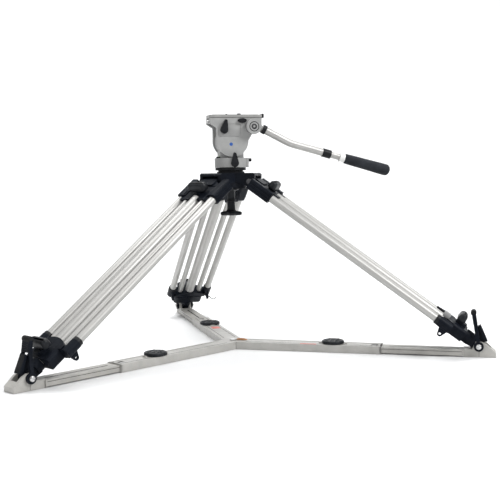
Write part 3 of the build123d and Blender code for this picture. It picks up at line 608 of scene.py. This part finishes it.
def spreader_details(letter, azimuth):
    arm = arm_axes(azimuth)
    outer = f"spreader_{letter}_outer"
    inner = f"spreader_{letter}_inner"
    paint_node(f"spreader_{letter}_outer_arm", SPREADER_PAINT)
    paint_node(f"spreader_{letter}_inner_arm", SHOE_PAINT)
    spreader_knob(letter, arm)
    for side in (-1, 1):
        # Painted shade: a thin near-black strip along the outer arm's top on each side, standing in for the
        # shade of its extrusion line.
        place = (side * 16.5, ARM_HEIGHT + 0.05, ARM_END / 2 + 18)
        line = block(arm, place, (1.1, 0.5, ARM_END - 44), 0.15, 0.4)
        piece(f"spreader_{letter}_seam_{side + 1}", line, SHADOW, outer)
        # Painted shade: a near-black strip along each side of the inner arm, for the shade in its groove.
        groove_shade = block(arm, (side * 22.95, 13.2, GROOVE_RADIUS), (0.5, 1.1, 316), 0.1, 0.2)
        piece(f"spreader_{letter}_groove_{side + 1}", groove_shade, SHADOW, inner)
        # Painted shade: a near-black strip at the joint of the inner arm and the shoe, for the shade in the
        # gap.
        joint = block(arm, (side * 19.95, 10.2, FOOT_RADIUS + 1), (0.5, 17, 0.9), 0.1, 0.2)
        piece(f"spreader_{letter}_shoe_seam_{side + 1}", joint, SHADOW, inner)
        pin_axes = arm.turned(0, FOOT_HEIGHT, FOOT_RADIUS, (side, 0, 0), (0, 1, 0))
        head = [(6.5, 29.9), (6.5, 31.0), (5.6, 31.9), (3.2, 32.2), (3.0, 31.2), (0.3, 31.2)]
        rivet = lathe(pin_axes, 0, 0, head, 36)
        piece(f"spreader_{letter}_rivet_{side + 1}", rivet, STEEL, inner)
    # Painted shade: a near-black sheet laid inside the window in the outer arm's top, for the shade in the
    # opening.
    window = block(arm, (0, ARM_HEIGHT - 1.7, WINDOW_RADIUS), (16.8, 0.6, 16.8), 0.1, 0.5)
    piece(f"spreader_{letter}_window", window, SHADOW, outer)
    spring = block(arm, (2, ARM_HEIGHT - 1.2, WINDOW_RADIUS - 2), (4, 0.7, 11), 0.2, 0.8)
    piece(f"spreader_{letter}_window_spring", spring, STEEL, outer)
    outside = (ARM_WIDTH, ARM_HEIGHT)
    inside = (46.6, 16.0)
    rings = []
    for s, (width, height) in ((-4, outside), (0.6, outside), (0.6, inside), (-4, inside)):
        outline = rounded_outline(width, height, 1.2)
        rings.append([arm.at(x, ARM_HEIGHT / 2 + y, ARM_END + s) for x, y in outline])
    piece(f"spreader_{letter}_end_lip", ring_skin(rings), SPREADER_PAINT, outer)
    # Painted shade: a near-black strip in the inner arm's slot, so that the slot's bottom reads shaded
    # rather than lit.
    rail = block(arm, (0, 17.3, RAIL_RADIUS), (4.8, 0.4, 180), 0.1, 2.3)
    piece(f"spreader_{letter}_rail_slot_shade", rail, SHADOW, inner)
    # Painted shade: a near-black sheet inside the shoe's slot, for the shade in it.
    floor_slot_shade = block(arm, (0, 8.3, FOOT_RADIUS + 5), (23.6, 0.8, 49.6), 0.2, 1)
    piece(f"spreader_{letter}_shoe_slot_shade", floor_slot_shade, SHADOW, inner)


def hub_details():
    paint_node("spreader_hub", STEEL)
    arm = arm_axes(LEG_AZIMUTHS["a"])
    for k, (near, far, bulge) in enumerate(((11, 36, 7), (12, 30, 4.6))):
        half = [(2, near), (bulge, near + 9), (bulge * 0.7, far)]
        outline = [(-x, s) for x, s in half] + [(0, far + 5)] + half[::-1]
        points = [arm.at(x, 22.4 + 1.6 * k, s) for x, s in outline]
        wire(f"hub_loop_{k}", points, 1.1, BRONZE, "spreader_a_outer")
    front = arm_axes((LEG_AZIMUTHS["a"] + LEG_AZIMUTHS["c"] - 360) / 2)
    corner = ARM_WIDTH / 2 / sin(radians(60)) - 0.2
    # Painted shade: a near-black strip down the mitre joint between arms a and c, for the shade in the
    # joint.
    mitre = block(front, (0, 10, corner), (1.3, 18.6, 0.8), 0.1, 0.3)
    piece("hub_mitre_seam", mitre, SHADOW, "spreader_a_outer")
    for letter, x, width, length in (("b", -2, 24, 34), ("a", -20.5, 9, 44)):
        place = (x, ARM_HEIGHT + 0.1, MARK_RADIUS)
        stripe = block(arm_axes(LEG_AZIMUTHS[letter]), place, (width, 0.4, length), 0.1, 0.6)
        piece(f"spreader_{letter}_mark", stripe, RED_MARK, f"spreader_{letter}_outer")


# --- Crown and head -------------------------------------------------------------------------------


def crown_details():
    paint_node("crown", CROWN_CASTING)
    paint_node("hinge_pins", SCREW)
    paint_node("ball_base", BLACK_PLASTIC)
    lobe = lambda angle, radius: 1 + (0.13 * cos(5 * angle) if radius > 20 else 0)
    column = Axes((0, 0, 0), UP, radial(0))
    body = [
        (9, 364), (22, 364.2), (25.4, 365.2), (26.8, 367.4), (26.8, 371.6), (25.6, 374), (21, 375.2),
        (14, 376.4), (11.4, 379), (10.9, 384), (10.5, 400), (10.8, 428), (12.6, 432), (19, 433.4),
        (21, 435.4), (21, 443.0), (18, 441.7), (12, 439.6), (6.2, 438.4),
    ]
    grip = lathe(column, 0, 0, body, 80, lobe)
    knob = piece("bowl_clamp_grip", grip, KNOB_PLASTIC, "bowl_clamp")
    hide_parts("bowl_clamp_knob")
    collar = lathe(column, 0, 0, [(11.0, 402), (12.0, 402.4), (12.0, 407.6), (11.0, 408)], 48)
    piece("bowl_clamp_collar", collar, BLACK_PLASTIC, "bowl_clamp")
    rim = [(46.0, 476.2), (47.2, 476.6), (47.2, 478.4), (46.2, 479.0), (42.4, 479.0), (42.4, 476.2)]
    piece("crown_rim", round_ring(column, rim, 72), CROWN_CASTING, "crown")


def head_details():
    for name in ("pan_base", "tilt_drum", "tilt_platform"):
        paint_node(name, HEAD_PAINT)
    paint_node("camera_plate", PLATE_PAINT)
    for name in ("tilt_axle", "tilt_drag_discs"):
        paint_node(name, STEEL)
    for name in ("pan_brake_lever", "pan_drag_knob", "tilt_brake_lever", "plate_lock", "pan_bar_collars"):
        paint_node(name, BLACK_PLASTIC)
    paint_node("camera_screws", SCREW)
    cheek = Axes(HEAD.at(HEAD_SIDE, *CHEEK_PANEL) / MM, HEAD.along, -HEAD.across)
    panel = block(cheek, (0, -0.7, 0), (33.2, 1.0, 61.2), 0.4, 7.6)
    piece("cheek_panel", panel, PANEL_PAINT, "tilt_head")
    dot_axes = Axes(HEAD.at(HEAD_SIDE, *CHEEK_DOT) / MM, -HEAD.across, UP)
    dot = lathe(dot_axes, 0, 0, [(4.6, -0.3), (4.6, 0.1), (4.1, 0.25)], 40)
    piece("cheek_dot", dot, BLUE_MARK, "tilt_head")


def rosette_details():
    paint_node("pan_bar_rosette", HEAD_PAINT)
    centre = HEAD.at(0, ROSETTE[1], ROSETTE[0]) / MM
    face = Axes(centre, -HEAD.across, UP)
    ring = [(13.2, 53.2), (13.2, 54.4), (11.4, 54.4), (11.4, 53.2)]
    piece("rosette_ring", round_ring(face, ring, 60), BLACK_PLASTIC, "pan_bar")
    cap = [(7.3, 53.0), (7.3, 55.0), (6.4, 56.0), (4.2, 56.1), (3.6, 54.2), (0.3, 54.2)]
    piece("rosette_screw", lathe(face, 0, 0, cap, 48), SCREW, "pan_bar")
    teeth = lambda angle, radius: 1 + (0.02 * cos(40 * angle) if radius > 19 else 0)
    section = [(18, 39.7), (20.6, 39.7), (20.6, 40.6), (18, 40.6)]
    joint = lathe(face, 0, 0, section, 160, teeth)
    piece("rosette_teeth", joint, BLACK_PLASTIC, "tilt_head")


def foam_profile():
    """Half outline of the foam grip: it swells along its length and ends in a dome."""
    start_radius = 13.4
    swell = 2.2
    dome_radius = start_radius + swell
    end = GRIP_START + GRIP_LENGTH
    profile = [(10.2, GRIP_START), (12.6, GRIP_START + 0.4), (start_radius, GRIP_START + 2.2)]
    steps = 22
    for k in range(steps + 1):
        t = k / steps
        radius = start_radius + swell * t ** 0.8 + 0.12 * sin(9.0 * t)
        profile.append((radius, GRIP_START + 4 + (GRIP_LENGTH - 18) * t))
    for angle in (15, 32, 48, 62, 75, 84):
        turn = radians(angle)
        profile.append((dome_radius * cos(turn) ** 0.9, end - 13 + 12.6 * sin(turn)))
    return profile + [(0.5, end - 0.3)]


def bar_details():
    paint_node("pan_bar_tube", BAR_METAL)
    paint_node("pan_bar_extension", BAR_METAL)
    ribs = []
    for k in range(7):
        s = 10.2 + 3.6 * k
        ribs += [(8.35, s), (8.9, s + 0.5), (8.9, s + 1.8), (8.35, s + 2.3)]
    piece("bar_ribs", lathe(BAR, 0, 0, ribs, 48), BAR_METAL, "pan_grip")
    ring = [
        (12.2, 35.9), (12.7, 36.4), (12.7, 41.0), (12.45, 41.4), (12.45, 42.6), (12.7, 43),
        (12.7, 49.2), (12.2, 50),
    ]
    piece("bar_ring", lathe(BAR, 0, 0, ring, 60), RING_WHITE, "pan_grip")
    grip = piece("bar_foam", lathe(BAR, 0, 0, foam_profile(), 64), FOAM, "pan_grip")
    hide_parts("pan_bar_grip")


def plate_details():
    gasket = block(HEAD, (-30.5, PLATE_TOP - 7.8, PLATE_MIDDLE), (0.9, 1.5, 142), 0.2, 0.4)
    piece("plate_gasket", gasket, RUBBER, "plate")
    stop = block(HEAD, (0, 631.8, 85.8), (54, 11, 5.4), 1.2, 2)
    piece("plate_stop", stop, BLACK_PLASTIC, "plate")
    for side in (-1, 1):
        strip = block(HEAD, (side * 21.5, PLATE_TOP + 0.3, PLATE_MIDDLE), (9, 1.0, 126), 0.3, 3)
        piece(f"plate_grip_{side + 1}", strip, RUBBER, "plate")
    pin_axes = Axes(HEAD.at(-16, 617, -59) / MM, -HEAD.along, UP)
    pin = lathe(pin_axes, 0, 0, [(2.4, -1), (2.4, 4.6), (3.4, 4.6), (3.4, 7.4), (2.8, 8.0), (0.3, 8.1)], 32)
    piece("carrier_pin", pin, STEEL, "tilt_head")
    column = Axes(HEAD.at(-14, 519.5, -33.5) / MM, UP, HEAD.along)
    rim = [(8.2, -0.4), (8.2, 3.0), (7.4, 3.8), (6.0, 3.8), (6.0, 2.8), (0.3, 2.8)]
    piece("bubble_rim", lathe(column, 0, 0, rim, 48), BLACK_PLASTIC, "pan_head")
    dome = [(5.8, 2.6), (5.2, 3.5), (3.4, 4.2), (0.3, 4.5)]
    piece("bubble_vial", lathe(column, 0, 0, dome, 48), VIAL, "pan_head")


# --- Stage, light and camera ----------------------------------------------------------------------


def build_stage():
    """A pale floor that curves up into a pale wall behind the tripod."""
    s = Shader("pale_floor")
    cloud = s.noise(1.2, 3)
    colour = s.blend(cloud, (0.74, 0.745, 0.75), (0.78, 0.785, 0.79))
    material = s.finish(colour, s.remap(cloud, 0, 1, 0.55, 0.7))
    profile = [(-2 * FLOOR_BACK, FLOOR_LEVEL), (FLOOR_BACK, FLOOR_LEVEL)]
    steps = 16
    for k in range(1, steps + 1):
        angle = radians(90 * k / steps)
        rise = FLOOR_CURVE * (1 - cos(angle))
        profile.append((FLOOR_BACK + FLOOR_CURVE * sin(angle), FLOOR_LEVEL + rise))
    profile.append((FLOOR_BACK + FLOOR_CURVE, 2 * FLOOR_BACK))
    bm = bmesh.new()
    rows = [[bm.verts.new((x, y, z)) for x in (-8, 8)] for y, z in profile]
    for low, high in zip(rows, rows[1:]):
        bm.faces.new((low[0], low[1], high[1], high[0]))
    mesh = bpy.data.meshes.new("studio_floor")
    bm.to_mesh(mesh)
    bm.free()
    mesh.polygons.foreach_set("use_smooth", [True] * len(mesh.polygons))
    mesh.materials.append(material)
    floor = bpy.data.objects.new("studio_floor", mesh)
    bpy.context.scene.collection.objects.link(floor)


def area_light(name, place, target, size, power):
    light = bpy.data.lights.new(name, "AREA")
    light.shape = "DISK"
    light.size = size
    light.energy = power
    obj = bpy.data.objects.new(name, light)
    bpy.context.scene.collection.objects.link(obj)
    obj.location = place
    obj.rotation_euler = (Vector(target) - Vector(place)).to_track_quat("-Z", "Y").to_euler()


def build_light():
    world = bpy.data.worlds.new("studio")
    world.use_nodes = True
    background = world.node_tree.nodes["Background"]
    background.inputs["Color"].default_value = (1.0, 1.0, 1.0, 1.0)
    background.inputs["Strength"].default_value = 0.5
    bpy.context.scene.world = world
    bpy.context.scene.view_settings.view_transform = "Standard"
    area_light("key", (2.3, -1.4, 2.4), (0, 0, 0.3), 1.3, 82)
    area_light("fill", (-2.2, -2.6, 1.7), (0, 0, 0.3), 1.6, 20)
    area_light("top", (-0.2, 0.5, 3.0), (0, 0, 0.2), 2.2, 58)
    area_light("wall", (0, 1.2, 3.2), (0, 4.2, 0.8), 2.5, 130)


def build_camera():
    camera = bpy.data.cameras.new("camera")
    camera.lens = CAMERA_LENS
    camera.sensor_width = 36
    camera.clip_end = 60
    obj = bpy.data.objects.new("camera", camera)
    bpy.context.scene.collection.objects.link(obj)
    yaw, pitch, roll = (radians(angle) for angle in CAMERA_ANGLES)
    forward = Vector((sin(yaw) * cos(pitch), cos(yaw) * cos(pitch), -sin(pitch)))
    level = Vector((cos(yaw), -sin(yaw), 0))
    upward = level.cross(forward)
    right = level * cos(roll) + upward * sin(roll)
    top = upward * cos(roll) - level * sin(roll)
    turn = Matrix((right, top, -forward)).transposed()
    obj.matrix_world = Matrix.Translation(Vector(CAMERA_PLACE)) @ turn.to_4x4()
    bpy.context.scene.camera = obj


# --- Put it together ------------------------------------------------------------------------------

build_camera()
build_stage()
build_light()
for leg_letter, leg_azimuth in LEG_AZIMUTHS.items():
    leg_details(leg_letter, leg_azimuth)
    spreader_details(leg_letter, leg_azimuth)
hub_details()
crown_details()
head_details()
rosette_details()
bar_details()
plate_details()
